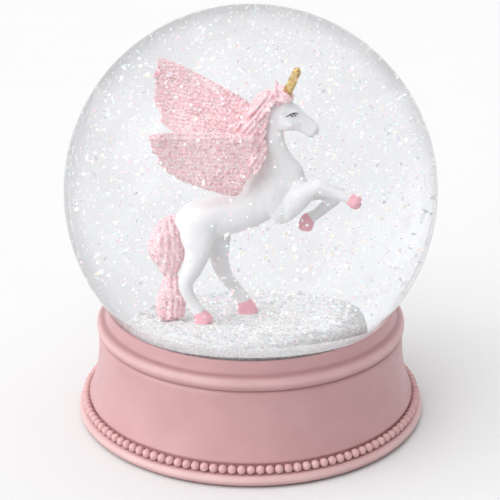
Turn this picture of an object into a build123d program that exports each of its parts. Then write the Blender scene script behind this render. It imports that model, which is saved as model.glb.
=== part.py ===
"""Water-filled snow globe with a rearing winged unicorn on a beaded resin base.

Millimetres, +Z up. The origin is at the centre of the felt pad's underside, so the
globe stands on Z = 0. The unicorn faces +X and its near side faces -Y.
"""

import os
from math import asin, cos, degrees, pi, radians, sin, sqrt

from build123d import *

# ---- globe ----
globe_radius = 50.0  # outside of the glass
glass_wall = 1.8
neck_radius = 27.5  # outside of the neck
neck_drop = 5.3  # length of the neck below the ball
neck_lip = 1.0  # radius of the rolled lip

# ---- base casting ----
base_height = 32.1  # foot to the collar's lip, above the floor
contact_radius = 38.9  # where the collar's lip meets the glass
lip_width = 0.8
collar_radius = 42.5  # outside of the half-round collar ring
collar_round = 2.1  # radius of that ring's section
collar_drop = 5.7  # collar's lip down to the ring's centre
skirt_radius = 42.0  # top of the skirt
foot_radius = 48.2
foot_thickness = 2.9
foot_clearance = 0.4  # the foot clears the floor, because the felt pad stands proud
shell_bore = 38.5  # inside of the hollow base
ledge_thickness = 4.0
cement_width = 3.5  # ring of cement between the neck and the ledge

# ---- bead trim ----
bead_radius = 1.13
bead_pitch = 2.42
bead_inset = 2.0  # foot's edge to the ring of bead centres

# ---- underside ----
plate_radius = 40.7
plate_thickness = 2.0
felt_thickness = 1.2

# ---- stopper ----
flange_thickness = 3.1
rib_height = 0.2
rib_count = 3
sealant_width = 1.4

# ---- snow mound ----
mound_in = 3.9  # neck's outside in to the mound's edge, so that the mound passes through the neck
mound_height = 15.0  # stopper to the ground that the hooves stand on
mound_shoulder = 2.5
drift_radius = 8.6
drift_rise = 2.3  # the drift's crown above the ground
drift_place = (14.5, 2.0)

# ---- glitter ----
flake_count = 90
flake_radius = 0.6
flake_thickness = 0.2
flake_depths = (2.5, 10.0)  # least and most distance in from the glass
flake_floor = 12.0  # the lowest flakes, below the ball's centre

# ---- wings ----
wing_thickness = 1.8
wing_offset = 4.6  # wing root from the unicorn's middle plane
wing_spread = 10.0  # degrees, each wing away from the middle plane

# ---- clearances ----
seam = 0.1  # between pieces that are glued, painted or filled against each other
socket_gap = 0.15  # glass to casting
bead_gap = 0.12
plate_gap = 0.2

# ---- heights that follow ----
glass_inside = globe_radius - glass_wall
neck_bore = neck_radius - glass_wall
socket_radius = globe_radius + socket_gap
centre_z = base_height + sqrt(globe_radius**2 - contact_radius**2)
neck_top = centre_z - sqrt(globe_radius**2 - neck_radius**2)
neck_bottom = neck_top - neck_drop
foot_top = foot_clearance + foot_thickness
plate_top = felt_thickness + plate_thickness
stopper_top = neck_bottom + neck_drop + 0.6
mound_radius = neck_radius - mound_in
ground = stopper_top + mound_height

# ---- unicorn, measured from the ground under it ----
# each station: x, y, z, lean of the section's axis in degrees, half height, half width
trunk = [
    (-14.7, 0.0, 19.0, 0, 1.5, 1.4),
    (-13.4, 0.0, 19.5, 4, 3.4, 3.1),
    (-10.5, 0.0, 20.1, 8, 4.5, 4.1),
    (-4.0, 0.0, 21.5, 15, 4.0, 3.7),
    (2.0, 0.0, 24.4, 38, 4.6, 4.0),
    (4.9, 0.0, 28.8, 68, 4.8, 3.7),
    (5.2, 0.0, 34.0, 90, 3.5, 2.6),
    (4.4, 0.0, 39.5, 94, 2.7, 2.1),
    (4.6, 0.0, 43.8, 85, 2.2, 1.8),
    (4.9, 0.0, 46.2, 80, 0.9, 0.8),
]
head = [
    (4.6, 0.0, 45.0, -34, 1.5, 1.3),
    (6.4, 0.0, 43.9, -34, 2.7, 2.1),
    (8.8, 0.0, 42.2, -36, 2.7, 2.1),
    (11.6, 0.0, 40.1, -36, 1.8, 1.5),
    (13.2, 0.0, 39.0, -36, 1.5, 1.3),
    (14.0, 0.0, 38.4, -36, 0.8, 0.7),
]
near_foreleg = [
    (5.0, -2.0, 23.0, 20, 2.8, 1.9),
    (9.0, -2.9, 26.5, 45, 2.1, 1.6),
    (12.6, -3.2, 28.7, 10, 1.5, 1.3),
    (16.4, -3.1, 28.0, -20, 1.05, 1.0),
    (20.2, -3.0, 25.9, -40, 1.15, 1.15),
]
far_forearm = [
    (6.0, 2.0, 24.0, -5, 2.5, 1.8),
    (11.0, 2.8, 23.9, -5, 1.8, 1.5),
    (15.2, 3.1, 23.3, -12, 1.3, 1.2),
    (16.6, 3.1, 23.0, -12, 0.7, 0.7),
]
far_cannon = [
    (15.8, 3.1, 23.2, -125, 0.8, 0.8),
    (15.2, 3.1, 22.3, -130, 1.15, 1.1),
    (13.8, 3.1, 20.6, -137, 0.95, 0.95),
    (12.2, 3.0, 19.0, -140, 1.1, 1.1),
]
near_hind_leg = [
    (-10.6, -1.8, 19.0, -80, 4.0, 2.3),
    (-10.6, -3.0, 14.0, -95, 3.0, 2.1),
    (-13.0, -3.9, 9.2, -100, 1.5, 1.3),
    (-11.4, -4.0, 5.4, -75, 1.0, 1.0),
    (-9.6, -4.0, 2.6, -90, 1.2, 1.2),
]
far_hind_leg = [
    (-7.8, 1.8, 18.5, -80, 3.6, 2.2),
    (-6.0, 3.0, 13.5, -90, 2.5, 2.0),
    (-5.2, 3.9, 8.2, -85, 1.35, 1.25),
    (-2.8, 4.0, 4.6, -65, 1.0, 1.0),
    (-1.0, 4.0, 2.6, -90, 1.2, 1.2),
]
hooves = {
    "near_fore_hoof": [(20.2, -3.0, 25.9, -40, 1.25, 1.25), (22.3, -3.0, 24.1, -40, 1.75, 1.6)],
    "far_fore_hoof": [(12.2, 3.0, 19.0, -140, 1.2, 1.2), (10.2, 3.0, 17.3, -140, 1.7, 1.6)],
    "near_hind_hoof": [(-9.6, -4.0, 2.6, -90, 1.3, 1.3), (-9.0, -4.0, 0.0, -90, 1.9, 1.8)],
    "far_hind_hoof": [(-1.0, 4.0, 2.6, -90, 1.3, 1.3), (-0.4, 4.0, 0.0, -90, 1.9, 1.8)],
}
horn = [(7.0, 0.0, 46.2, 66, 1.05, 1.05), (10.0, 0.0, 53.0, 66, 0.45, 0.45), (10.2, 0.0, 53.5, 66, 0.2, 0.2)]
forelock = [
    (4.6, 0.0, 47.0, 0, 0.6, 0.6),
    (6.6, 0.0, 47.1, -15, 1.5, 1.3),
    (8.8, 0.0, 45.4, -40, 1.2, 1.1),
    (10.0, 0.0, 44.0, -50, 0.4, 0.4),
]
mane = [
    (3.8, 0.0, 47.6, -110, 0.7, 0.8),
    (2.4, -0.4, 45.2, -110, 2.0, 1.7),
    (1.3, -0.8, 41.5, -95, 2.3, 2.1),
    (1.0, -1.4, 37.5, -95, 2.3, 2.2),
    (0.4, -2.2, 33.8, -100, 2.0, 2.1),
    (-0.4, -2.8, 31.0, -100, 0.8, 0.9),
]
tail = [
    (-15.0, 0.0, 21.4, -150, 1.0, 1.0),
    (-16.4, 0.0, 19.6, -110, 2.4, 1.9),
    (-16.8, 0.0, 14.6, -85, 3.6, 2.4),
    (-15.2, 0.0, 9.6, -80, 1.9, 1.6),
    (-15.3, 0.0, 5.4, -95, 2.9, 2.0),
    (-15.4, 0.0, 2.0, -90, 2.7, 1.9),
    (-15.4, 0.0, 0.2, -90, 1.6, 1.3),
]
ear_length = 3.0
ear_radius = 0.85
ear_roots = [(5.2, -1.1, 46.0), (5.2, 1.1, 46.0)]
ear_lean = 12.0  # degrees back from upright

# wing outlines: distance back from the shoulder, height above the ground
near_wing_top = [(-2.0, 34.6), (1.4, 40.0), (10.8, 40.7), (17.4, 41.3), (22.6, 41.8)]
near_wing_low = [(22.6, 41.8), (21.6, 37.0), (18.6, 32.5), (12.3, 29.5), (3.4, 27.5), (-2.0, 34.6)]
far_wing_top = [(-0.9, 40.0), (3.4, 44.7), (11.2, 46.8), (17.4, 51.0), (19.8, 52.4)]
far_wing_low = [(19.8, 52.4), (19.2, 46.6), (17.6, 38.0), (11.0, 33.5), (4.0, 32.0), (-0.9, 40.0)]


def tube(stations, grow=0.0):
    """A loft through elliptical sections, each across its own leaning axis."""
    with BuildPart() as limb:
        for x, y, z, lean, tall, wide in stations:
            axis = (cos(radians(lean)), 0, sin(radians(lean)))
            with BuildSketch(Plane(origin=(x, y, ground + z), x_dir=(0, 1, 0), z_dir=axis)):
                Ellipse(wide + grow, tall + grow)
        loft()
    return limb.part


def unicorn_casting(grow=0.0):
    """Trunk, head and four legs in one casting."""
    with BuildPart() as casting:
        for stations in (trunk, head, near_foreleg, far_forearm, far_cannon, near_hind_leg, far_hind_leg):
            add(tube(stations, grow))
    return casting.part


def ear_pair(grow=0.0):
    with BuildPart() as pair:
        for x, y, z in ear_roots:
            with Locations(Location((x, y, ground + z), (0, -ear_lean, 0))):
                Cone(
                    ear_radius + grow, 0.15 + grow, ear_length + grow,
                    align=(Align.CENTER, Align.CENTER, Align.MIN),
                )
    return pair.part


def wing(side, top, low, grow=0.0):
    """A flat wing that leans away from the middle plane: side is -1 near, +1 far."""
    back, out = cos(radians(wing_spread)), side * sin(radians(wing_spread))
    plane = Plane(
        origin=(0, side * wing_offset, ground), x_dir=(-back, out, 0), z_dir=(out, back, 0)
    )
    with BuildPart() as feathered:
        with BuildSketch(plane):
            with BuildLine():
                Spline(*top)
                Spline(*low)
            make_face()
        extrude(amount=wing_thickness / 2 + grow, both=True)
    return feathered.part


def snow(grow=0.0):
    """A drum of snow with a rounded shoulder and a drift on one side."""
    with BuildPart() as heap:
        with BuildSketch(Plane.XY.offset(stopper_top)):
            Circle(mound_radius + grow)
        extrude(amount=mound_height + grow)
        fillet(heap.edges().sort_by(Axis.Z)[-1], mound_shoulder)
        drift_z = ground + drift_rise - drift_radius
        with Locations((*drift_place, drift_z)):
            Sphere(drift_radius + grow)
    return heap.part


def flakes(grow=0.0):
    """Thin hexagons spread through the water by the golden angle, clear of the figure."""
    golden = pi * (3 - sqrt(5))
    near, far = glass_inside - flake_depths[0], glass_inside - flake_depths[1]
    with BuildPart() as drift:
        for i in range(flake_count):
            share = (i + 0.5) / flake_count
            reach = near + (far - near) * ((i * 0.618) % 1)
            height = -flake_floor + (reach - 1 + flake_floor) * share
            across = sqrt(reach**2 - height**2)
            place = (across * cos(i * golden), across * sin(i * golden), centre_z + height)
            tilt = (sin(i * 1.7), cos(i * 2.3), 0.4 + 0.5 * sin(i))
            with BuildSketch(Plane(origin=place, z_dir=tilt)):
                RegularPolygon(flake_radius + grow, 6)
        extrude(amount=flake_thickness / 2 + grow, both=True)
    return drift.part


def ball_point(radius, lean):
    """A point on a circle about the ball's centre, lean degrees up from straight down."""
    return (radius * sin(radians(lean)), centre_z - radius * cos(radians(lean)))


def lean_at(radius, across):
    """The lean at which a circle about the ball's centre is this far from the axis."""
    return degrees(asin(across / radius))


# ---- glass ----
with BuildPart() as glass_globe:
    outer_lean = lean_at(globe_radius, neck_radius)
    inner_lean = lean_at(glass_inside, neck_bore)
    with BuildSketch(Plane.XZ):
        with BuildLine():
            outside_end = ball_point(globe_radius, outer_lean)
            inside_end = ball_point(glass_inside, inner_lean)
            ThreePointArc((0, centre_z + globe_radius), (globe_radius, centre_z), outside_end)
            Line(outside_end, (neck_radius, neck_bottom + 2 * neck_lip))
            ThreePointArc(
                (neck_radius, neck_bottom + 2 * neck_lip),
                (neck_radius + neck_lip, neck_bottom + neck_lip),
                (neck_radius, neck_bottom),
            )
            Line((neck_radius, neck_bottom), (neck_bore, neck_bottom))
            Line((neck_bore, neck_bottom), inside_end)
            ThreePointArc(inside_end, (glass_inside, centre_z), (0, centre_z + glass_inside))
            Line((0, centre_z + glass_inside), (0, centre_z + globe_radius))
        make_face()
    revolve(axis=Axis.Z)
glass_globe.part.label = "glass_globe"
os.makedirs("parts", exist_ok=True)
export_step(glass_globe.part, "parts/glass_globe.step")

# ---- stopper and its seal ----
with BuildPart() as rubber_stopper:
    plug_radius = neck_bore - seam - rib_height
    with BuildSketch(Plane.XY.offset(neck_bottom - flange_thickness)):
        Circle(neck_radius + neck_lip)
    extrude(amount=flange_thickness)
    with BuildSketch(Plane.XY.offset(neck_bottom)):
        Circle(plug_radius)
    extrude(amount=stopper_top - neck_bottom)
    rib_spacing = (stopper_top - neck_bottom) / (rib_count + 1)
    for i in range(rib_count):
        with BuildSketch(Plane.XY.offset(neck_bottom + (i + 0.8) * rib_spacing)):
            Circle(plug_radius + rib_height)
        extrude(amount=0.4 * rib_spacing)
    fillet(rubber_stopper.edges().sort_by(Axis.Z)[0], 0.6)
rubber_stopper.part.label = "rubber_stopper"
export_step(rubber_stopper.part, "parts/rubber_stopper.step")

with BuildPart() as sealant_ring:
    seal_bore = neck_radius + neck_lip + seam
    with BuildSketch(Plane.XY.offset(neck_bottom - flange_thickness + 0.5)):
        Circle(seal_bore + sealant_width)
        Circle(seal_bore, mode=Mode.SUBTRACT)
    extrude(amount=flange_thickness - 0.5 + neck_lip)
    fillet(sealant_ring.edges().filter_by(GeomType.CIRCLE).sort_by(SortBy.RADIUS)[-2:], 0.5)
sealant_ring.part.label = "sealant_ring"
export_step(sealant_ring.part, "parts/sealant_ring.step")

# ---- base casting ----
bead_ring = foot_radius - bead_inset
bead_z = foot_top + bead_gap + bead_radius
bead_wall = bead_ring - bead_radius - bead_gap
ring_centre = (collar_radius - collar_round, base_height - collar_drop)
seat_bore = neck_radius + cement_width
ledge_top = ball_point(socket_radius, lean_at(socket_radius, seat_bore))
ledge_bottom = ledge_top[1] - ledge_thickness
lip_inner = ball_point(socket_radius, lean_at(socket_radius, contact_radius + 0.1))


def on_ring(angle):
    """A point on the collar ring's round section, angle degrees above level."""
    reach, height = collar_round * cos(radians(angle)), collar_round * sin(radians(angle))
    return (ring_centre[0] + reach, ring_centre[1] + height)


with BuildPart() as base_shell:
    foot_half = foot_thickness / 2
    foot_in = foot_radius - foot_half
    skirt_low = (bead_wall + 0.3, bead_z + 1.2 * bead_radius)
    skirt_high = (skirt_radius, ring_centre[1] - collar_round - 0.7)
    skirt_rise = skirt_high[1] - skirt_low[1]
    skirt_flare = skirt_low[0] - skirt_high[0]
    crease = on_ring(-60)
    groove = on_ring(80)
    lip_foot = (groove[0] - 0.45, groove[1] + 0.3)
    lip_side = (contact_radius + lip_width, base_height - 0.6)
    lip_crest = (contact_radius + 0.55 * lip_width, base_height)
    recess = plate_radius + plate_gap
    with BuildSketch(Plane.XZ):
        with BuildLine():
            Line((recess, foot_clearance), (foot_in, foot_clearance))
            ThreePointArc(
                (foot_in, foot_clearance), (foot_radius, foot_clearance + foot_half), (foot_in, foot_top)
            )
            Line((foot_in, foot_top), (bead_wall, foot_top))
            Line((bead_wall, foot_top), (bead_wall, skirt_low[1] - 0.5))
            Line((bead_wall, skirt_low[1] - 0.5), skirt_low)
            Bezier(
                skirt_low,
                (skirt_high[0] + 0.37 * skirt_flare, skirt_low[1] + 0.26 * skirt_rise),
                (skirt_high[0], skirt_low[1] + 0.52 * skirt_rise),
                skirt_high,
            )
            Line(skirt_high, crease)
            ThreePointArc(crease, on_ring(0), groove)
            Line(groove, lip_foot)
            Line(lip_foot, lip_side)
            ThreePointArc(lip_side, lip_crest, lip_inner)
            ThreePointArc(
                lip_inner,
                ball_point(socket_radius, lean_at(socket_radius, (seat_bore + contact_radius) / 2)),
                ledge_top,
            )
            Line(ledge_top, (seat_bore, ledge_bottom))
            Line((seat_bore, ledge_bottom), (shell_bore, ledge_bottom))
            Line((shell_bore, ledge_bottom), (shell_bore, plate_top))
            Line((shell_bore, plate_top), (recess, plate_top))
            Line((recess, plate_top), (recess, foot_clearance))
        make_face()
    revolve(axis=Axis.Z)
base_shell.part.label = "base_shell"
export_step(base_shell.part, "parts/base_shell.step")

with BuildPart() as bead_trim:
    bead_count = round(2 * pi * bead_ring / bead_pitch)
    with Locations((0, 0, bead_z)):
        with PolarLocations(bead_ring, bead_count):
            Sphere(bead_radius)
bead_trim.part.label = "bead_trim"
export_step(bead_trim.part, "parts/bead_trim.step")

with BuildPart() as cement_ring:
    cement_in = neck_radius + seam
    cement_out = seat_bore - seam
    cement_ball = globe_radius + seam
    inner_edge = ball_point(cement_ball, lean_at(cement_ball, cement_in + neck_lip))
    outer_edge = ball_point(cement_ball, lean_at(cement_ball, cement_out))
    cement_low = ledge_bottom + 0.5
    with BuildSketch(Plane.XZ):
        with BuildLine():
            ThreePointArc(
                inner_edge,
                ball_point(cement_ball, lean_at(cement_ball, (inner_edge[0] + cement_out) / 2)),
                outer_edge,
            )
            Polyline(
                outer_edge, (cement_out, cement_low), (inner_edge[0], cement_low), inner_edge
            )
        make_face()
    revolve(axis=Axis.Z)
cement_ring.part.label = "cement_ring"
export_step(cement_ring.part, "parts/cement_ring.step")

with BuildPart() as bottom_plate:
    with BuildSketch(Plane.XY.offset(felt_thickness)):
        Circle(plate_radius)
    extrude(amount=plate_thickness)
    chamfer(bottom_plate.edges().sort_by(Axis.Z)[0], 0.4)
bottom_plate.part.label = "bottom_plate"
export_step(bottom_plate.part, "parts/bottom_plate.step")

with BuildPart() as felt_pad:
    with BuildSketch():
        Circle(plate_radius - 0.5)
    extrude(amount=felt_thickness)
felt_pad.part.label = "felt_pad"
export_step(felt_pad.part, "parts/felt_pad.step")

# ---- snow and figure ----
with BuildPart() as snow_mound:
    add(snow())
snow_mound.part.label = "snow_mound"
export_step(snow_mound.part, "parts/snow_mound.step")

with BuildPart() as unicorn_body:
    add(unicorn_casting())
unicorn_body.part.label = "unicorn_body"
export_step(unicorn_body.part, "parts/unicorn_body.step")

body_clear = unicorn_casting(seam)
horn_clear = tube(horn, seam)
wing_shapes = {
    "near_wing": (-1, near_wing_top, near_wing_low),
    "far_wing": (1, far_wing_top, far_wing_low),
}

for name, stations in hooves.items():
    with BuildPart() as hoof:
        add(tube(stations))
    hoof.part.label = name
    export_step(hoof.part, f"parts/{name}.step")

with BuildPart() as gold_horn:
    add(tube(horn))
    add(body_clear, mode=Mode.SUBTRACT)
gold_horn.part.label = "horn"
export_step(gold_horn.part, "parts/horn.step")

with BuildPart() as ears:
    add(ear_pair())
    add(body_clear, mode=Mode.SUBTRACT)
ears.part.label = "ears"
export_step(ears.part, "parts/ears.step")

with BuildPart() as forelock_tuft:
    add(tube(forelock))
    for taken in (body_clear, horn_clear, ear_pair(seam)):
        add(taken, mode=Mode.SUBTRACT)
forelock_tuft.part.label = "forelock"
export_step(forelock_tuft.part, "parts/forelock.step")

for name, (side, top, low) in wing_shapes.items():
    with BuildPart() as one_wing:
        add(wing(side, top, low))
        add(body_clear, mode=Mode.SUBTRACT)
    one_wing.part.label = name
    export_step(one_wing.part, f"parts/{name}.step")

with BuildPart() as mane_crest:
    add(tube(mane))
    for taken in (body_clear, tube(forelock, seam), ear_pair(seam)):
        add(taken, mode=Mode.SUBTRACT)
    for side, top, low in wing_shapes.values():
        add(wing(side, top, low, seam), mode=Mode.SUBTRACT)
mane_crest.part.label = "mane"
export_step(mane_crest.part, "parts/mane.step")

with BuildPart() as tail_fall:
    add(tube(tail))
    add(body_clear, mode=Mode.SUBTRACT)
tail_fall.part.label = "tail"
export_step(tail_fall.part, "parts/tail.step")

# ---- water and glitter ----
with BuildPart() as glitter_flakes:
    add(flakes())
glitter_flakes.part.label = "glitter_flakes"
export_step(glitter_flakes.part, "parts/glitter_flakes.step")

with BuildPart() as water_fill:
    water_radius = glass_inside - seam
    water_neck = neck_bore - seam
    water_end = ball_point(water_radius, lean_at(water_radius, water_neck))
    with BuildSketch(Plane.XZ):
        with BuildLine():
            ThreePointArc((0, centre_z + water_radius), (water_radius, centre_z), water_end)
            Polyline(
                water_end, (water_neck, stopper_top), (0, stopper_top), (0, centre_z + water_radius)
            )
        make_face()
    revolve(axis=Axis.Z)
    figure_clear = [snow(seam), body_clear, horn_clear, ear_pair(seam)]
    figure_clear += [tube(stations, seam) for stations in (forelock, mane, tail)]
    figure_clear += [tube(stations, seam) for stations in hooves.values()]
    figure_clear += [wing(*shape, seam) for shape in wing_shapes.values()]
    for taken in (*figure_clear, flakes(seam)):
        add(taken, mode=Mode.SUBTRACT)
water_fill.part.label = "water_fill"
export_step(water_fill.part, "parts/water_fill.step")
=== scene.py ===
"""Snow globe with a rearing winged unicorn: its finished shapes and materials."""

import random
from math import asin, cos, degrees, exp, hypot, pi, radians, sin, sqrt

import bmesh
import bpy
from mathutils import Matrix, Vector, noise
from mathutils.bvhtree import BVHTree


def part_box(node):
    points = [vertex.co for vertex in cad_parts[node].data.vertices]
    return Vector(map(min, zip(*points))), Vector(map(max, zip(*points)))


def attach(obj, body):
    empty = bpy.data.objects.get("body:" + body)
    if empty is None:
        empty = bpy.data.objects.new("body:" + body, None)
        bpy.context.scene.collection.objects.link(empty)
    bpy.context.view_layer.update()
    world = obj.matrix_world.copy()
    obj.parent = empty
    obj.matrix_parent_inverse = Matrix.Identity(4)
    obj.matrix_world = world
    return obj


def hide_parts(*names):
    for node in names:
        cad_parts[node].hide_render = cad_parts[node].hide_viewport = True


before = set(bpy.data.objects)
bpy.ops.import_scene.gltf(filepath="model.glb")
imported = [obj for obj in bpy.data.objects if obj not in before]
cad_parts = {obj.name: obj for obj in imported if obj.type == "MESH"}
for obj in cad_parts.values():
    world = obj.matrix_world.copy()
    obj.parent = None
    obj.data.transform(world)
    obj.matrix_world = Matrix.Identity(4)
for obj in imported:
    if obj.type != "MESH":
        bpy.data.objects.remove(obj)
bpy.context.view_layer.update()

# ---- sizes in millimetres, read from the frame ----
MM = 0.001
globe_low, globe_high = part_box("glass_globe")
globe_radius = (globe_high.x - globe_low.x) / 2 / MM
centre_z = globe_high.z / MM - globe_radius
neck_bottom = globe_low.z / MM
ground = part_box("near_hind_hoof")[0].z / MM
stopper_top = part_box("rubber_stopper")[1].z / MM
mound_radius = -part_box("snow_mound")[0].x / MM
base_low, base_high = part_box("base_shell")
foot_radius = base_high.x / MM
foot_low = base_low.z / MM
base_top = base_high.z / MM
bead_low, bead_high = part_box("bead_trim")
bead_radius = (bead_high.z - bead_low.z) / 2 / MM
bead_z = (bead_high.z + bead_low.z) / 2 / MM
bead_ring = bead_high.x / MM - bead_radius
plate_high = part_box("bottom_plate")[1]

# sizes that the frame's boxes don't show
glass_wall = 1.8
neck_radius = 27.5
neck_lip = 1.0
bead_count = 120
plate_gap = 0.2


# ---- shapes ----
def placed(name, data):
    """An object that holds this mesh, lamp or lens, in the scene."""
    item = bpy.data.objects.new(name, data)
    bpy.context.scene.collection.objects.link(item)
    return item


def turns(count):
    """Angles evenly round a full turn."""
    return [2 * pi * i / count for i in range(count)]


class Shape:
    """Points in millimetres and faces, gathered before they become one object."""

    def __init__(self):
        self.points = []
        self.faces = []
        self.slots = []

    def add(self, points, faces, slot=0):
        start = len(self.points)
        self.points += [Vector(point) for point in points]
        self.faces += [[start + i for i in face] for face in faces]
        self.slots += [slot] * len(faces)

    def rows(self, rings, first=None, last=None, slot=0):
        """Closed rings joined one to the next, with a pole point at an end that has one."""
        sides = len(rings[0])
        points = [point for ring in rings for point in ring]
        faces = []
        for row in range(len(rings) - 1):
            for i in range(sides):
                j = (i + 1) % sides
                low, high = row * sides, (row + 1) * sides
                faces.append((low + i, low + j, high + j, high + i))
        for pole, row in ((first, 0), (last, len(rings) - 1)):
            if pole is not None:
                points.append(pole)
                for i in range(sides):
                    faces.append((row * sides + i, row * sides + (i + 1) % sides, len(points) - 1))
        self.add(points, faces, slot)

    def ball(self, centre, reach, sides=20, rows=12):
        """A ball stretched to its three reaches."""
        middle = Vector(centre)
        rings = []
        for lean in (pi * row / rows for row in range(1, rows)):
            x, y = reach[0] * sin(lean), reach[1] * sin(lean)
            z = reach[2] * cos(lean)
            rings.append([middle + Vector((x * cos(turn), y * sin(turn), z)) for turn in turns(sides)])
        tip = Vector((0, 0, reach[2]))
        self.rows(rings, middle + tip, middle - tip)

    def sweep(self, stations, across=(0, 1, 0), steps=6, sides=20, dome=0.6):
        """A tube through stations of x, y, z, half height and half width."""
        run = smooth_run(stations, steps)
        centres = [Vector(station[:3]) for station in run]
        across = Vector(across)
        rings = []
        for i, station in enumerate(run):
            ahead = centres[min(i + 1, len(run) - 1)] - centres[max(i - 1, 0)]
            ahead.normalize()
            side = (across - ahead * ahead.dot(across)).normalized()
            up = ahead.cross(side)
            wide, tall = side * station[4], up * station[3]
            rings.append([centres[i] + wide * cos(turn) + tall * sin(turn) for turn in turns(sides)])
        back = (centres[0] - centres[1]).normalized() * (dome * min(run[0][3:5]))
        front = (centres[-1] - centres[-2]).normalized() * (dome * min(run[-1][3:5]))
        self.rows(rings, centres[0] + back, centres[-1] + front)


def smooth_run(keys, steps):
    """Tuples on a smooth curve through the keys."""
    padded = [keys[0], *keys, keys[-1]]
    run = []
    for a, b, c, d in zip(padded, padded[1:], padded[2:], padded[3:]):
        for i in range(steps):
            t = i / steps
            point = []
            for p, q, r, s in zip(a, b, c, d):
                bend = (2 * p - 5 * q + 4 * r - s) * t**2 + (3 * q - p - 3 * r + s) * t**3
                point.append(0.5 * (2 * q + (r - p) * t + bend))
            run.append(point)
    run.append(list(keys[-1]))
    return run


def along(keys, share):
    """The point at this share of a polyline's length."""
    lengths = [hypot(b[0] - a[0], b[1] - a[1]) for a, b in zip(keys, keys[1:])]
    left = share * sum(lengths)
    for a, b, length in zip(keys, keys[1:], lengths):
        if left <= length:
            return tuple(p + (q - p) * left / length for p, q in zip(a, b))
        left -= length
    return keys[-1]


def smoothstep(low, high, value):
    """0 below low, 1 above high, and an easy slope between them."""
    share = min(max((value - low) / (high - low), 0), 1)
    return share * share * (3 - 2 * share)


def solid(name, shape):
    """A closed, smooth-shaded object with its faces outwards."""
    mesh = bpy.data.meshes.new(name)
    mesh.from_pydata([point * MM for point in shape.points], [], shape.faces)
    mesh.polygons.foreach_set("material_index", shape.slots)
    skin = bmesh.new()
    skin.from_mesh(mesh)
    bmesh.ops.remove_doubles(skin, verts=skin.verts, dist=0.0005 * MM)
    bmesh.ops.recalc_face_normals(skin, faces=skin.faces)
    for face in skin.faces:
        face.smooth = True
    skin.to_mesh(mesh)
    skin.free()
    return placed(name, mesh)


def settle(piece):
    """Turns a piece's modifiers into plain mesh."""
    graph = bpy.context.evaluated_depsgraph_get()
    mesh = bpy.data.meshes.new_from_object(piece.evaluated_get(graph))
    piece.modifiers.clear()
    piece.data = mesh
    return piece


def fused(name, shape, voxel, rounds):
    """One skin round shapes that overlap."""
    piece = solid(name, shape)
    remesh = piece.modifiers.new("Fuse", "REMESH")
    remesh.mode = "VOXEL"
    remesh.voxel_size = voxel * MM
    soften = piece.modifiers.new("Soften", "SMOOTH")
    soften.factor = 0.5
    soften.iterations = rounds
    settle(piece)
    for face in piece.data.polygons:
        face.use_smooth = True
    return piece


def relief(piece, push):
    """Moves the surface in or out by push(point, normal), in millimetres."""
    vertices = piece.data.vertices
    moves = [vertex.normal * push(vertex.co / MM, vertex.normal) for vertex in vertices]
    for vertex, move in zip(vertices, moves):
        vertex.co += move * MM
    piece.data.update()


def lathe(name, profile, sides, inner=()):
    """A profile of radius and height turned round the axis; the inner run has its own material."""
    rings = []
    for radius, height in [*profile, *inner]:
        rings.append([(radius * cos(turn), radius * sin(turn), height) for turn in turns(sides)])
    shape = Shape()
    for row, pair in enumerate(zip(rings, rings[1:])):
        shape.rows(pair, slot=int(row >= len(profile)))
    return solid(name, shape)


def arc(centre, radius, start, end, count):
    """Points on a profile's arc, angles in degrees above level."""
    run = []
    for i in range(count + 1):
        turn = radians(start + (end - start) * i / count)
        run.append((max(centre[0] + radius * cos(turn), 0), centre[1] + radius * sin(turn)))
    return run


def lean_at(radius, across):
    """Angle below level, in degrees, where a ball of this radius is this far across."""
    return -degrees(asin(sqrt(radius**2 - across**2) / radius))


def ball_height(radius, across):
    """Height of the lower half of a ball about the globe's centre, this far out."""
    return centre_z - sqrt(radius**2 - across**2)


# ---- nodes ----
class Socket:
    """A node's output that Python's operators do maths on."""

    def __init__(self, nodes, link):
        self.nodes = nodes
        self.link = link

    def maths(self, operation, *values):
        return self.nodes.node("ShaderNodeMath", {"operation": operation}, dict(enumerate(values)))

    def __add__(self, other):
        return self.maths("ADD", self, other)

    __radd__ = __add__

    def __sub__(self, other):
        return self.maths("SUBTRACT", self, other)

    def __rsub__(self, other):
        return self.maths("SUBTRACT", other, self)

    def __mul__(self, other):
        return self.maths("MULTIPLY", self, other)

    __rmul__ = __mul__


class Nodes:
    """A node tree and the one way that nodes go into it."""

    def __init__(self, tree):
        self.tree = tree

    def node(self, kind, settings=None, sockets=None, output=0):
        made = self.tree.nodes.new(kind)
        for key, value in (settings or {}).items():
            if key == "stops":
                ramp = made.color_ramp
                while len(ramp.elements) < len(value):
                    ramp.elements.new(1.0)
                for stop, (position, colour) in zip(ramp.elements, value):
                    stop.position = position
                    stop.color = (*colour, 1)
            elif key == "interpolation":
                made.color_ramp.interpolation = value
            else:
                setattr(made, key, value)
        for key, value in (sockets or {}).items():
            if isinstance(value, Socket):
                self.tree.links.new(value.link, made.inputs[key])
            else:
                made.inputs[key].default_value = value
        return Socket(self, made.outputs[output]) if len(made.outputs) else None

    def vector(self, operation, *values, output=0):
        """Vector maths, where a scale's number has a socket of its own."""
        second = "Scale" if operation == "SCALE" else 1
        sockets = dict(zip((0, second), values))
        return self.node("ShaderNodeVectorMath", {"operation": operation}, sockets, output)


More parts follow.
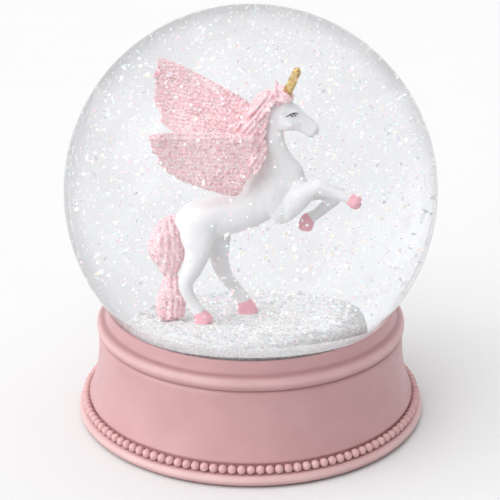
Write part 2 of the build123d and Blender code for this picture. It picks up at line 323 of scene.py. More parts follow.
class Finish(Nodes):
    """A material built from patterns on object coordinates."""

    def __init__(self, name):
        self.material = bpy.data.materials.new(name)
        self.material.use_nodes = True
        super().__init__(self.material.node_tree)
        self.tree.nodes.clear()

    def place(self):
        """Object coordinates in millimetres."""
        return self.vector("SCALE", self.node("ShaderNodeTexCoord", output="Object"), 1 / MM)

    def noise(self, size, detail=3.0, spot=None):
        """Soft noise whose lumps are this many millimetres across."""
        sockets = {"Vector": spot or self.place(), "Scale": 1 / size, "Detail": detail}
        return self.node("ShaderNodeTexNoise", None, sockets)

    def cells(self, size, output):
        sockets = {"Vector": self.place(), "Scale": 1 / size}
        return self.node("ShaderNodeTexVoronoi", None, sockets, output)

    def mix(self, share, low, high):
        def full(colour):
            return colour if isinstance(colour, Socket) else (*colour, 1)

        sockets = {0: share, 6: full(low), 7: full(high)}
        return self.node("ShaderNodeMix", {"data_type": "RGBA"}, sockets, 2)

    def ramp(self, share, stops, interpolation="LINEAR"):
        settings = {"interpolation": interpolation, "stops": stops}
        return self.node("ShaderNodeValToRGB", settings, {0: share})

    def between(self, value, low, high, start=0.0, end=1.0):
        """Maps low..high on to start..end, and holds it there."""
        sockets = {0: value, 1: low, 2: high, 3: start, 4: end}
        return self.node("ShaderNodeMapRange", {"clamp": True}, sockets)

    def patches(self, size, detail, low, high, start=0.0, end=1.0):
        """Soft noise with its middle stretched from start to end."""
        return self.between(self.noise(size, detail), low, high, start, end)

    def height(self):
        return self.node("ShaderNodeSeparateXYZ", None, {0: self.place()}, "Z")

    def bump(self, height, depth, strength=1.0, normal=None):
        sockets = {"Height": height, "Distance": depth * MM, "Strength": strength}
        if normal:
            sockets["Normal"] = normal
        return self.node("ShaderNodeBump", None, sockets)

    def facets(self, size, tilt):
        """A normal that leans its own way in each small cell."""
        lean = self.vector("SUBTRACT", self.cells(size, "Color"), (0.5, 0.5, 0.5))
        lean = self.vector("SCALE", lean, tilt)
        normal = self.node("ShaderNodeNewGeometry", output="Normal")
        return self.vector("NORMALIZE", self.vector("ADD", normal, lean))

    def shader(self, colour, roughness, **more):
        sockets = {"Base Color": colour, "Roughness": roughness}
        sockets.update({key.replace("_", " "): value for key, value in more.items()})
        return self.node("ShaderNodeBsdfPrincipled", None, sockets)

    def done(self, surface):
        self.node("ShaderNodeOutputMaterial", None, {"Surface": surface})
        return self.material


# ---- materials ----
def painted_resin(name, pale, deep, roughness, mottling=3.0, bands=()):
    """Brushed satin paint: soft mottling, fine orange peel, and bands of painted shade in creases and
    painted highlight on lit crests.
    """
    finish = Finish(name)
    cloud = finish.noise(mottling, 4)
    colour = finish.mix(finish.between(cloud, 0.3, 0.7), deep, pale)
    speck = finish.patches(0.35, 2, 0.68, 0.8, 0.0, 0.25)
    colour = finish.mix(speck, colour, tuple(0.75 * c for c in deep))
    # each band blends its colour in at one height: painted shade in the creases, painted highlight on the
    # lit rounds
    for middle, reach, strength, shade in bands:
        band = finish.between(finish.height(), middle - reach, middle)
        band = band * finish.between(finish.height(), middle, middle + reach, strength, 0.0)
        colour = finish.mix(band * finish.between(cloud, 0.2, 0.8, 0.7, 1.0), colour, shade)
    peel = finish.bump(finish.noise(0.5, 3), 0.03, 0.35)
    normal = finish.bump(cloud, 0.12, 0.3, peel)
    gloss = finish.patches(1.6, 3, 0.2, 0.8, roughness - 0.05, roughness + 0.08)
    return finish.done(finish.shader(colour, gloss, Normal=normal))


def glitter_coat(name, pale, deep, flash, grain=0.42):
    """Paint rolled in fine glitter: grains that each lean their own way and vary in gloss, with painted
    glints on the lightest grains, painted shadow on the darkest and in the gaps, and a faint painted glow.
    """
    finish = Finish(name)
    lot = finish.node("ShaderNodeSeparateColor", None, {0: finish.cells(grain, "Color")}, "Red")
    body = finish.mix(finish.patches(1.8, 3, 0.35, 0.65), deep, pale)
    # painted shadow for the darkest grains and the gaps between grains; the flash and white grains are
    # painted glints
    shadow = tuple(0.72 * c for c in deep)
    film = [(0.0, shadow), (0.14, deep), (0.34, pale), (0.74, flash), (0.92, (1.0, 1.0, 1.0))]
    colour = finish.mix(0.72, body, finish.ramp(lot, film, "CONSTANT"))
    gap = finish.between(finish.cells(grain, "Distance"), 0.3, 0.75, 0.0, 0.35)
    colour = finish.mix(gap, colour, shadow)
    gloss = finish.between(lot, 0.0, 1.0, 0.55, 0.22)
    normal = finish.bump(finish.noise(0.3, 2), 0.08, 0.7, finish.facets(grain, 0.9))
    # the emission is a painted glow that brightens the glitter; it is no lamp
    glow = {"Emission_Color": colour, "Emission_Strength": 0.12}
    return finish.done(finish.shader(colour, gloss, Normal=normal, **glow))


def snow_finish():
    """White resin under iridescent flakes."""
    finish = Finish("snow_glitter")
    lot = finish.node("ShaderNodeSeparateColor", None, {0: finish.cells(0.5, "Color")}, "Green")
    body = finish.mix(finish.patches(2.4, 4, 0.35, 0.65), (0.66, 0.67, 0.66), (0.84, 0.84, 0.83))
    film = [
        (0.0, (0.72, 0.74, 0.74)),
        (0.25, (0.95, 0.95, 0.94)),
        (0.62, (0.93, 0.86, 0.88)),
        (0.72, (0.80, 0.92, 0.93)),
        (0.82, (0.95, 0.92, 0.82)),
        (0.9, (1.0, 1.0, 1.0)),
    ]
    colour = finish.mix(0.65, body, finish.ramp(lot, film, "CONSTANT"))
    gloss = finish.between(lot, 0.0, 1.0, 0.6, 0.2)
    normal = finish.bump(finish.noise(0.6, 3), 0.15, 0.8, finish.facets(0.5, 0.7))
    return finish.done(finish.shader(colour, gloss, Normal=normal))


def flake_finish(name):
    """Iridescent film: each flake takes one of a few pale colours, with a faint painted glow."""
    finish = Finish(name)
    tint = finish.node("ShaderNodeAttribute", {"attribute_name": "tint"}, output="Fac")
    film = [
        (0.0, (0.97, 0.97, 0.97)),
        (0.46, (0.97, 0.70, 0.77)),
        (0.64, (0.76, 0.93, 0.94)),
        (0.74, (0.86, 0.80, 0.96)),
        (0.83, (0.98, 0.93, 0.78)),
        (0.89, (0.98, 0.84, 0.74)),
        (0.93, (0.68, 0.70, 0.73)),
    ]
    colour = finish.ramp(tint, film, "CONSTANT")
    shimmer = finish.patches(0.4, 2, 0.35, 0.65)
    colour = finish.mix(0.25 * shimmer, colour, (1.0, 1.0, 1.0))
    gloss = finish.between(tint, 0.0, 1.0, 0.12, 0.3)
    normal = finish.bump(finish.noise(0.3, 2), 0.03, 0.5)
    # the emission is a painted glow that brightens the flakes; they are no lamp
    shine = {"Emission_Color": colour, "Emission_Strength": 0.28}
    return finish.done(finish.shader(colour, gloss, Normal=normal, **shine))


def glass_finish():
    """Blown glass with water behind it, so that it bends light as the two do together."""
    finish = Finish("clear_glass")
    tint = finish.mix(finish.patches(18, 2, 0.35, 0.65), (0.90, 0.893, 0.902), (0.91, 0.907, 0.914))
    # the tint darkens towards the rim: painted shade at grazing angles
    edge = finish.node("ShaderNodeLayerWeight", None, {"Blend": 0.5}, "Facing")
    tint = finish.mix(finish.between(edge, 0.56, 0.92), tint, (0.45, 0.455, 0.465))
    normal = finish.bump(finish.noise(22, 1), 0.02, 0.15)
    glass = finish.shader(tint, 0.0, IOR=1.345, Transmission_Weight=1.0, Normal=normal)
    open_way = finish.node("ShaderNodeBsdfTransparent", None, {"Color": (0.98, 0.985, 0.99, 1)})
    shadow = finish.node("ShaderNodeLightPath", output="Is Shadow Ray")
    return finish.done(finish.node("ShaderNodeMixShader", None, {0: shadow, 1: glass, 2: open_way}))


def film_finish(name, tint, share):
    """A wetted inner surface that hardly shows: clear, with a faint cloudiness."""
    finish = Finish(name)
    cloud = finish.patches(9, 3, 0.4, 0.7, 0.0, share)
    clear = finish.node("ShaderNodeBsdfTransparent", None, {"Color": (*tint, 1)})
    haze = finish.shader((0.95, 0.96, 0.97, 1), 0.3)
    return finish.done(finish.node("ShaderNodeMixShader", None, {0: cloud, 1: clear, 2: haze}))


def gold_finish():
    """Brushed gold paint in soft darker and lighter patches."""
    finish = Finish("horn_gold")
    cloud = finish.noise(1.1, 4)
    golds = [(0.3, (0.32, 0.18, 0.04)), (0.47, (0.64, 0.41, 0.11)), (0.68, (0.94, 0.74, 0.35))]
    colour = finish.ramp(cloud, golds)
    gloss = finish.patches(0.3, 3, 0.3, 0.7, 0.16, 0.32)
    normal = finish.bump(finish.noise(0.5, 3), 0.04, 0.4)
    metal = finish.between(cloud, 0.3, 0.6, 0.75, 1.0)
    return finish.done(finish.shader(colour, gloss, Metallic=metal, Normal=normal))


def plain_finish(name, pale, deep, size, depth, roughness, stretch=(1, 1, 1)):
    """Grainy stuff of one kind, such as rubber, cement, board or felt."""
    finish = Finish(name)
    spot = finish.vector("MULTIPLY", finish.place(), stretch)
    grain = finish.noise(size, 5, spot)
    colour = finish.mix(finish.between(grain, 0.32, 0.68), deep, pale)
    fleck = finish.between(finish.noise(size * 0.3, 2, spot), 0.62, 0.75, 0.0, 0.4)
    colour = finish.mix(fleck, colour, tuple(min(1.0, 1.3 * c) for c in pale))
    gloss = finish.between(grain, 0.3, 0.7, roughness - 0.08, roughness + 0.08)
    normal = finish.bump(grain, depth, 0.8)
    return finish.done(finish.shader(colour, gloss, Normal=normal))


def lash_finish():
    """Black paint, a little uneven."""
    finish = Finish("lash_paint")
    colour = finish.mix(finish.noise(0.4, 2), (0.012, 0.012, 0.013), (0.05, 0.045, 0.045))
    return finish.done(finish.shader(colour, finish.patches(0.3, 3, 0.3, 0.7, 0.4, 0.6)))


collar_drop = 5.7
collar_z = base_top - collar_drop
# painted shade darkens the creases and the seat against the glass; painted highlight lightens the lit
# rounds of the foot and collar
painted_crease_shade = (0.34, 0.165, 0.17)
painted_highlight = (0.80, 0.58, 0.56)
# height of the middle, reach each way, strength, colour; each band is painted shade in a crease or painted
# highlight on a lit round
painted_light_bands = [
    (foot_low + 1.9, 1.5, 0.8, painted_highlight),
    (foot_low + 3.6, 0.6, 0.4, painted_crease_shade),
    (collar_z + 0.6, 1.2, 0.45, painted_highlight),
    (collar_z - 1.9, 0.5, 0.8, painted_crease_shade),
    (collar_z + 2.15, 0.75, 0.75, painted_crease_shade),
    (base_top, 0.35, 0.5, painted_crease_shade),
]
base_pink = painted_resin("base_pink", (0.585, 0.335, 0.34), (0.545, 0.305, 0.31), 0.34, 9.0, painted_light_bands)
# a paler copy of the base's pink paint, as painted highlight on the beads
bead_pink = painted_resin("bead_pink", (0.70, 0.43, 0.43), (0.62, 0.36, 0.36), 0.36, 1.5)
white_resin = painted_resin("white_resin", (0.90, 0.895, 0.89), (0.84, 0.84, 0.84), 0.42, 4.0)
hoof_pink = painted_resin("hoof_pink", (0.94, 0.50, 0.56), (0.86, 0.42, 0.48), 0.40, 1.6)
ear_pink = painted_resin("ear_pink", (0.88, 0.62, 0.66), (0.82, 0.50, 0.56), 0.40, 1.2)
pink_glitter = glitter_coat("pink_glitter", (1.0, 0.76, 0.77), (0.87, 0.49, 0.52), (1.0, 0.86, 0.86))
mane_glitter = glitter_coat("mane_glitter", (1.0, 0.76, 0.78), (0.94, 0.55, 0.59), (1.0, 0.84, 0.85), 0.38)
snow_glitter = snow_finish()
flake_film = flake_finish("glitter_film")
grain_film = glitter_coat("grain_film", (1.0, 0.80, 0.81), (0.86, 0.46, 0.50), (1.0, 0.94, 0.94), 0.25)
horn_gold = gold_finish()
lash_paint = lash_finish()
clear_glass = glass_finish()
inner_glass = film_finish("inner_glass", (0.99, 0.993, 0.996), 0.02)
clear_water = film_finish("clear_water", (0.992, 0.995, 0.998), 0.03)


def finished(piece, *materials):
    """The piece with its materials in their slots."""
    for material in materials:
        piece.data.materials.append(material)
    return piece


# ---- glass and water ----
film_gap = 0.12
inside = globe_radius - glass_wall
neck_bore = neck_radius - glass_wall
middle = (0, centre_z)
neck_lip_centre = (neck_radius, neck_bottom + neck_lip)
outer_face = arc(middle, globe_radius, 90, lean_at(globe_radius, neck_radius), 120)
outer_face += [(neck_radius, neck_bottom + 2 * neck_lip), *arc(neck_lip_centre, neck_lip, 90, -90, 8)]
inner_face = [(neck_bore, neck_bottom), *arc(middle, inside, lean_at(inside, neck_bore), 90, 80)]
globe = finished(lathe("blown_globe", outer_face, 192, inner_face), clear_glass, inner_glass)

water_ball = inside - film_gap
water_neck = neck_bore - film_gap
water_profile = arc(middle, water_ball, 90, lean_at(water_ball, water_neck), 80)
water_bottom = stopper_top + 0.1
water_profile += [(water_neck, water_bottom), (0, water_bottom)]
water = finished(lathe("water", water_profile, 128), clear_water)

# ---- base casting ----
collar_centre = 40.4
collar_round = 2.1
collar_lip = 39.28
lip_round = 0.42
contact_radius = 38.9
skirt_radius = 42.0
foot_half = 1.45
foot_top = foot_low + 2 * foot_half
bead_wall = bead_ring - bead_radius - 0.12
skirt_low = (bead_wall + 0.3, bead_z + 1.2 * bead_radius)
skirt_high = (skirt_radius, collar_z - collar_round - 0.7)
plate_bore = plate_high.x / MM + plate_gap
shell_bore = 38.5
seat_bore = 31.0
ball_seat = globe_radius + 0.15
ledge_bottom = ball_height(ball_seat, seat_bore) - 4


def skirt_curve(count):
    """The concave flare from the beads up to the collar."""
    rise, flare = skirt_high[1] - skirt_low[1], skirt_low[0] - skirt_high[0]
    pulls = [
        skirt_low,
        (skirt_high[0] + 0.37 * flare, skirt_low[1] + 0.26 * rise),
        (skirt_high[0], skirt_low[1] + 0.52 * rise),
        skirt_high,
    ]
    run = []
    for i in range(count + 1):
        t = i / count
        weights = ((1 - t) ** 3, 3 * t * (1 - t) ** 2, 3 * t**2 * (1 - t), t**3)
        run.append(tuple(sum(w * pull[k] for w, pull in zip(weights, pulls)) for k in (0, 1)))
    return run


def base_outline():
    """From the plate's bore round the foot, up the skirt and collar, and down the ball's seat."""
    foot_middle = (foot_radius - foot_half, foot_low + foot_half)
    outline = [(plate_bore, foot_low), (foot_middle[0] - 0.6, foot_low)]
    outline += arc(foot_middle, foot_half, -90, 90, 18)
    outline += [(bead_wall + 0.25, foot_top), (bead_wall, foot_top + 0.2)]
    outline += [(bead_wall, skirt_low[1] - 0.6), (bead_wall + 0.08, skirt_low[1] - 0.3)]
    outline += skirt_curve(30)
    outline += [(skirt_radius - 0.15, skirt_high[1] + 0.25), (skirt_radius - 0.45, collar_z - 1.95)]
    outline += arc((collar_centre, collar_z), collar_round, -62, 78, 26)
    for step, rise in ((0.2, 0), (-0.05, 0.15), (-0.3, 0.6)):
        outline.append((collar_centre + step, collar_z + collar_round + rise))
    outline.append((collar_lip + lip_round + 0.08, base_top - 1.4))
    outline += arc((collar_lip, base_top - lip_round), lip_round, 0, 140, 8)
    for share in (i / 20 for i in range(21)):
        across = contact_radius - (contact_radius - seat_bore) * share
        outline.append((across, ball_height(ball_seat, across)))
    outline += [(seat_bore, ledge_bottom), (shell_bore, ledge_bottom)]
    outline += [(shell_bore, plate_high.z / MM), (plate_bore, plate_high.z / MM)]
    return [*outline, outline[0]]


base = lathe("base_casting", base_outline(), 288)


def casting_ripple(point, normal):
    """Slight hand-finished unevenness, none of it at the seat or under the foot."""
    if hypot(point.x, point.y) < collar_centre + 0.1 or point.z < foot_low + 0.4:
        return 0
    slow = noise.noise(point * 0.11)
    fine = noise.noise(point * 0.5 + Vector((9, 2, 5)))
    return 0.09 * slow + 0.03 * fine


relief(base, casting_ripple)
finished(base, base_pink)


# ---- what repeats ----
def repeater(name, inputs, build):
    """A geometry tree with named inputs; build returns its geometry before the last nodes."""
    tree = bpy.data.node_groups.new(name, "GeometryNodeTree")
    tree.interface.new_socket("Geometry", in_out="INPUT", socket_type="NodeSocketGeometry")
    for label, (kind, _) in inputs.items():
        tree.interface.new_socket(label, in_out="INPUT", socket_type=f"NodeSocket{kind}")
    tree.interface.new_socket("Geometry", in_out="OUTPUT", socket_type="NodeSocketGeometry")
    nodes = Nodes(tree)
    source = tree.nodes.new("NodeGroupInput")
    given = {socket.name: Socket(nodes, socket) for socket in source.outputs if socket.name}
    made = nodes.node("GeometryNodeRealizeInstances", None, {0: build(nodes, given)})
    made = nodes.node("GeometryNodeSetShadeSmooth", None, {0: made, 2: build is bead_string})
    made = nodes.node("GeometryNodeSetMaterial", None, {0: made, "Material": given["Material"]})
    nodes.node("NodeGroupOutput", None, {0: made})
    return tree


def repeated(piece, tree, inputs):
    """Runs a geometry tree on a piece and keeps the mesh that it makes."""
    modifier = piece.modifiers.new(tree.name, "NODES")
    modifier.node_group = tree
    for item in tree.interface.items_tree:
        if item.in_out == "INPUT" and item.name in inputs:
            modifier[item.identifier] = inputs[item.name][1]
    return settle(piece)


def varied(nodes, given, low, high, kind="FLOAT"):
    """A random number, or three of them, for each thing that is repeated."""
    first, output = (0, 0) if kind == "FLOAT_VECTOR" else (2, 1)
    sockets = {first: low, first + 1: high, "Seed": given["Seed"]}
    return nodes.node("FunctionNodeRandomValue", {"data_type": kind}, sockets, output)


def bead_string(nodes, given):
    """Beads in a ring, each a little larger or smaller than the next."""
    sockets = {"Vertices": given["Count"], "Radius": given["Ring radius"]}
    ring = nodes.node("GeometryNodeMeshCircle", None, sockets)
    sockets = {"Segments": 16, "Rings": 12, "Radius": given["Bead radius"]}
    bead = nodes.node("GeometryNodeMeshUVSphere", None, sockets)
    sockets = {"Points": ring, "Instance": bead, "Scale": varied(nodes, given, 1.01, 1.05)}
    string = nodes.node("GeometryNodeInstanceOnPoints", None, sockets)
    lift = nodes.node("ShaderNodeCombineXYZ", None, {2: given["Height"]})
    return nodes.node("GeometryNodeSetPosition", None, {0: string, "Offset": lift})


def flakes_on(nodes, given, points, rotation, smallest, largest):
    """A six-sided flake on each point."""
    size = {"Vertices": 6, "Radius": given["Flake radius"], "Depth": given["Flake thickness"]}
    sockets = {
        "Points": points,
        "Instance": nodes.node("GeometryNodeMeshCylinder", None, size),
        "Rotation": rotation,
        "Scale": varied(nodes, given, smallest, largest),
    }
    return nodes.node("GeometryNodeInstanceOnPoints", None, sockets)


def tinted(nodes, given, flakes):
    """Gives each flake the number that its colour comes from."""
    sockets = {0: flakes, "Name": "tint", "Value": varied(nodes, given, 0.0, 1.0)}
    return nodes.node("GeometryNodeStoreNamedAttribute", {"domain": "INSTANCE"}, sockets)


def drifting(nodes, given):
    """Flakes on the given points, each turned any way."""
    rotation = varied(nodes, given, (0, 0, 0), (6.28, 6.28, 6.28), "FLOAT_VECTOR")
    return tinted(nodes, given, flakes_on(nodes, given, given["Geometry"], rotation, 0.45, 1.25))


def coating(nodes, given):
    """Flakes stuck all over a surface, each a little off flat."""
    sockets = {0: given["Geometry"], "Density": given["Density"], "Seed": given["Seed"]}
    scatter = nodes.node("GeometryNodeDistributePointsOnFaces", None, sockets)
    flat = Socket(nodes, scatter.link.node.outputs["Rotation"])
    flakes = flakes_on(nodes, given, scatter, flat, 0.5, 1.2)
    tilt = varied(nodes, given, (-0.6, -0.6, -3), (0.6, 0.6, 3), "FLOAT_VECTOR")
    flakes = nodes.node("GeometryNodeRotateInstances", None, {0: flakes, "Rotation": tilt})
    return tinted(nodes, given, flakes)


bead_sizes = {
    "Count": ("Int", bead_count),
    "Ring radius": ("Float", bead_ring * MM),
    "Bead radius": ("Float", bead_radius * MM),
    "Height": ("Float", bead_z * MM),
    "Seed": ("Int", 3),
    "Material": ("Material", bead_pink),
}
bead_tree = repeater("bead_string", bead_sizes, bead_string)
beads = repeated(placed("beads", bpy.data.meshes.new("beads")), bead_tree, bead_sizes)

# ---- unicorn ----
# each station: x, y, height above the ground, half height, half width
trunk = [
    (-14.6, 0, 18.2, 0.8, 0.8),
    (-14.0, 0, 18.9, 2.4, 2.2),
    (-12.4, 0, 19.4, 3.7, 3.4),
    (-10.0, 0, 20.1, 4.4, 4.0),
    (-6.6, 0, 21.0, 4.3, 3.9),
    (-3.2, 0, 21.8, 4.1, 3.7),
    (0.2, 0, 23.4, 4.3, 3.8),
    (3.0, 0, 25.8, 4.8, 4.0),
    (5.6, 0, 28.8, 5.3, 3.5),
    (5.2, 0, 31.6, 4.3, 2.9),
    (4.7, 0, 34.6, 3.1, 2.3),
    (4.5, 0, 37.8, 2.3, 1.9),
    (4.7, 0, 41.0, 2.1, 1.7),
    (4.9, 0, 43.6, 1.9, 1.7),
    (5.4, 0, 45.4, 1.2, 1.1),
]
head = [
    (4.6, 0, 44.6, 1.0, 1.0),
    (5.6, 0, 44.0, 2.4, 1.9),
    (7.4, 0, 42.8, 3.0, 2.1),
    (9.2, 0, 41.8, 2.6, 1.9),
    (10.7, 0, 41.0, 2.0, 1.5),
    (11.9, 0, 40.1, 1.75, 1.4),
    (12.7, 0, 39.5, 1.75, 1.45),
    (13.25, 0, 39.25, 1.5, 1.35),
]
near_foreleg = [
    (4.6, -1.6, 22.6, 3.0, 1.8),
    (6.8, -2.3, 23.4, 2.8, 1.9),
    (9.3, -2.8, 25.3, 2.35, 1.7),
    (11.6, -3.1, 27.3, 1.9, 1.5),
    (13.7, -3.2, 28.3, 1.6, 1.4),
    (16.2, -3.15, 27.3, 1.25, 1.15),
    (18.6, -3.05, 26.3, 1.1, 1.05),
    (20.4, -3.0, 25.5, 1.15, 1.1),
]
far_forearm = [
    (5.0, 1.6, 23.4, 2.6, 1.8),
    (9.0, 2.5, 24.4, 2.0, 1.6),
    (12.5, 3.0, 24.9, 1.6, 1.35),
    (15.4, 3.1, 25.0, 1.4, 1.25),
    (17.2, 3.1, 24.9, 1.35, 1.25),
    (17.9, 3.1, 24.5, 0.8, 0.8),
]
far_cannon = [
    (17.4, 3.1, 25.0, 0.8, 0.8),
    (16.6, 3.1, 23.8, 1.35, 1.25),
    (14.4, 3.1, 21.7, 1.15, 1.1),
    (11.6, 3.0, 19.6, 1.15, 1.1),
]
near_hind_leg = [
    (-9.8, -1.2, 20.6, 3.6, 2.0),
    (-10.4, -2.2, 18.0, 3.9, 2.4),
    (-10.6, -3.0, 14.4, 2.7, 2.1),
    (-11.6, -3.6, 11.2, 2.0, 1.7),
    (-12.9, -3.9, 8.6, 1.6, 1.35),
    (-12.5, -4.0, 6.2, 1.25, 1.15),
    (-11.2, -4.0, 4.0, 1.2, 1.1),
    (-10.0, -4.0, 2.3, 1.3, 1.25),
]
far_hind_leg = [
    (-8.2, 1.2, 19.6, 3.6, 2.0),
    (-7.0, 2.2, 16.6, 3.2, 2.2),
    (-6.2, 3.0, 12.8, 2.1, 1.9),
    (-5.8, 3.6, 9.8, 1.65, 1.5),
    (-4.5, 3.9, 7.2, 1.35, 1.25),
    (-2.6, 4.0, 4.8, 1.2, 1.1),
    (-1.1, 4.0, 2.5, 1.3, 1.25),
]
# where each swelling is, and how far it reaches along x, y and z
muscles = [
    ((9.4, -1.7, 27.7), (2.5, 1.7, 1.8)),
    ((9.2, 1.7, 27.2), (2.3, 1.6, 1.8)),
    ((-10.2, -2.9, 18.6), (3.4, 1.5, 3.8)),
    ((-8.6, 2.9, 18.2), (3.2, 1.5, 3.6)),
    ((12.5, 0.0, 39.0), (0.9, 0.9, 0.8)),
    ((7.0, 0.0, 45.4), (1.9, 1.4, 1.2)),
]
for side in (-1, 1):
    shoulder = ((4.4, side * 2.6, 26.0), (2.8, 1.6, 4.0))
    cheek = ((7.3, side * 1.5, 41.8), (1.8, 0.8, 2.0))
    brow = ((9.0, side * 1.55, 44.2), (0.9, 0.45, 0.6))
    muscles += [shoulder, cheek, brow]
# where each dent of both sides is, how far it reaches, and its depth
dents = {
    "nostril": ((13.5, 1.3, 39.5), (0.36, 0.6, 0.36), 0.14),
    "mouth": ((13.0, 1.1, 38.35), (1.0, 0.9, 0.16), 0.22),
    "eye": ((8.4, 1.9, 43.5), (1.3, 0.8, 0.35), 0.12),
    "jaw": ((10.4, 1.5, 41.3), (0.5, 0.8, 1.1), 0.16),
    "elbow": ((6.6, 3.6, 22.6), (0.5, 2.0, 1.8), 0.35),
    "flank": ((-6.4, 3.9, 17.6), (1.0, 2.0, 3.0), 0.45),
    "behind the shoulder": ((1.2, 3.9, 24.5), (0.9, 1.6, 3.0), 0.2),
}


def lifted(stations):
    """Stations measured from the ground, in the frame's heights."""
    return [(x, y, z + ground, *rest) for x, y, z, *rest in stations]


body_shape = Shape()
for limb in (trunk, head, near_foreleg, far_forearm, far_cannon, near_hind_leg, far_hind_leg):
    body_shape.sweep(lifted(limb), sides=28)
for spot, reach in muscles:
    body_shape.ball((spot[0], spot[1], spot[2] + ground), reach)
body = fused("unicorn", body_shape, 0.26, 9)


def hollow(point, spot, reach, depth):
    """A soft dent of this depth about a spot, measured from the ground, on both sides."""
    away = Vector((point.x - spot[0], abs(point.y) - spot[1], point.z - ground - spot[2]))
    return -depth * exp(-sum((a / r) ** 2 for a, r in zip(away, reach)))


def sculpting(point, normal):
    """The dents, and a little unevenness all over."""
    return sum(hollow(point, *dent) for dent in dents.values()) + 0.05 * noise.noise(point * 0.6)


relief(body, sculpting)
finished(body, white_resin)
body_tree = BVHTree.FromObject(body, bpy.context.evaluated_depsgraph_get())


def hoof(name, stations):
    """A cap that widens from the leg to a rounded toe."""
    shape = Shape()
    shape.sweep(lifted(stations), sides=28, dome=0.35)
    piece = fused(name, shape, 0.14, 9)
    relief(piece, lambda point, normal: 0.05 * noise.noise(point * 1.4))
    return finished(piece, hoof_pink)


hooves = {
    "near_fore_hoof": [
        (19.9, -3.0, 25.9, 1.2, 1.15),
        (20.5, -3.0, 25.4, 1.4, 1.35),
        (21.3, -3.0, 24.95, 1.5, 1.42),
        (22.15, -3.0, 24.5, 1.15, 1.1),
    ],
    "far_fore_hoof": [
        (11.7, 3.0, 20.0, 1.1, 1.05),
        (11.2, 3.0, 19.3, 1.38, 1.25),
        (10.75, 3.0, 18.1, 1.5, 1.35),
        (10.6, 3.0, 17.2, 1.2, 1.1),
    ],
    "near_hind_hoof": [
        (-10.0, -4.0, 2.5, 1.25, 1.2),
        (-9.8, -4.0, 1.8, 1.55, 1.45),
        (-9.4, -4.0, 1.0, 1.85, 1.7),
        (-9.1, -4.0, 0.2, 1.95, 1.8),
    ],
    "far_hind_hoof": [
        (-1.2, 4.0, 2.9, 1.25, 1.2),
        (-1.0, 4.0, 2.1, 1.6, 1.5),
        (-0.6, 4.0, 1.0, 1.85, 1.7),
        (-0.4, 4.0, 0.2, 1.95, 1.8),
    ],
}
hoof_pieces = {name: hoof(name + "_cap", stations) for name, stations in hooves.items()}


# ---- horn, ears, lashes ----
horn_root = Vector((6.7, 0, 45.9 + ground))
horn_tip = Vector((10.15, 0, 54.1 + ground))
horn_twists = 3.2


def twisted_horn():
    """A blunt horn with a shallow twist wound up it."""
    axis = (horn_tip - horn_root).normalized()
    side = Vector((0, 1, 0))
    up = axis.cross(side)
    length = (horn_tip - horn_root).length
    rings = []
    for share in (row / 63 for row in range(64)):
        girth = 1.04 - 0.16 * share
        girth *= sqrt(max(1 - smoothstep(0.84, 1.0, share) ** 2 * 0.97, 0.02))
        ring = []
        for turn in turns(36):
            swell = 1 + 0.03 * cos(turn - share * 2 * pi * horn_twists)
            swell += 0.01 * cos(2 * turn + share * 17)
            reach = side * cos(turn) + up * sin(turn)
            ring.append(horn_root + axis * (share * length) + reach * (girth * swell))
        rings.append(ring)
    shape = Shape()
    shape.rows(rings, horn_root, horn_tip)
    piece = solid("twisted_horn", shape)
    relief(piece, lambda point, normal: 0.03 * noise.noise(point * 2.2))
    return finished(piece, horn_gold)


def leaf_ears():
    """Two pointed ears, cupped towards the front."""
    shape = Shape()
    for side in (-1, 1):
        ear = [
            (5.7, side * 1.0, 45.4, 0.6, 0.55),
            (5.7, side * 1.2, 46.9, 0.75, 0.55),
            (5.5, side * 1.45, 48.6, 0.55, 0.4),
            (5.25, side * 1.6, 50.1, 0.16, 0.16),
        ]
        shape.sweep(lifted(ear), sides=18)
    piece = fused("ear_pair", shape, 0.12, 4)

    def cup(point, normal):
        inward = max(normal.x, 0) * smoothstep(45.8, 47, point.z - ground)
        return -0.22 * inward * (1 - smoothstep(49, 49.9, point.z - ground))

    relief(piece, cup)
    return finished(piece, ear_pink)


def lashes():
    """The closed lid's painted line and its lashes, laid on both cheeks."""
    strokes = [
        [(7.2, 43.3), (7.9, 43.65), (8.6, 44.0), (9.2, 44.15), (9.6, 43.85)],
        [(8.2, 43.8), (8.45, 43.45), (8.75, 43.15)],
        [(8.8, 44.05), (9.0, 43.65), (9.25, 43.3)],
    ]
    steps = 4
    shape = Shape()
    for side in (-1, 1):
        for stroke in strokes:
            run = []
            for i, (x, z) in enumerate(smooth_run(stroke, steps)):
                start = Vector((x, side * 8, z + ground)) * MM
                point = body_tree.ray_cast(start, Vector((0, -side, 0)))[0] / MM
                share = i / (steps * (len(stroke) - 1))
                girth = 0.10 * sqrt(max(1 - (2 * share - 1) ** 2, 0)) + 0.03
                run.append((point.x, point.y + side * 0.06, point.z, girth, 0.13))
            shape.sweep(run, steps=1, sides=8)
    return finished(solid("lashes", shape), lash_paint)


horn_piece = twisted_horn()
ear_piece = leaf_ears()
lash_piece = lashes()

# ---- mane, forelock, tail ----
hair_chance = random.Random(11)


def lock(shape, points, girth, flat=0.75):
    """A tapering lock of hair along its points."""
    last = len(points) - 1
    stations = []
    for i, (x, y, z) in enumerate(points):
        swell = girth * (0.55 + 0.9 * sin(pi * min(i / last + 0.12, 1)) ** 0.8)
        stations.append((x, y, z + ground, swell, swell * flat))
    shape.sweep(stations, steps=5, sides=12)


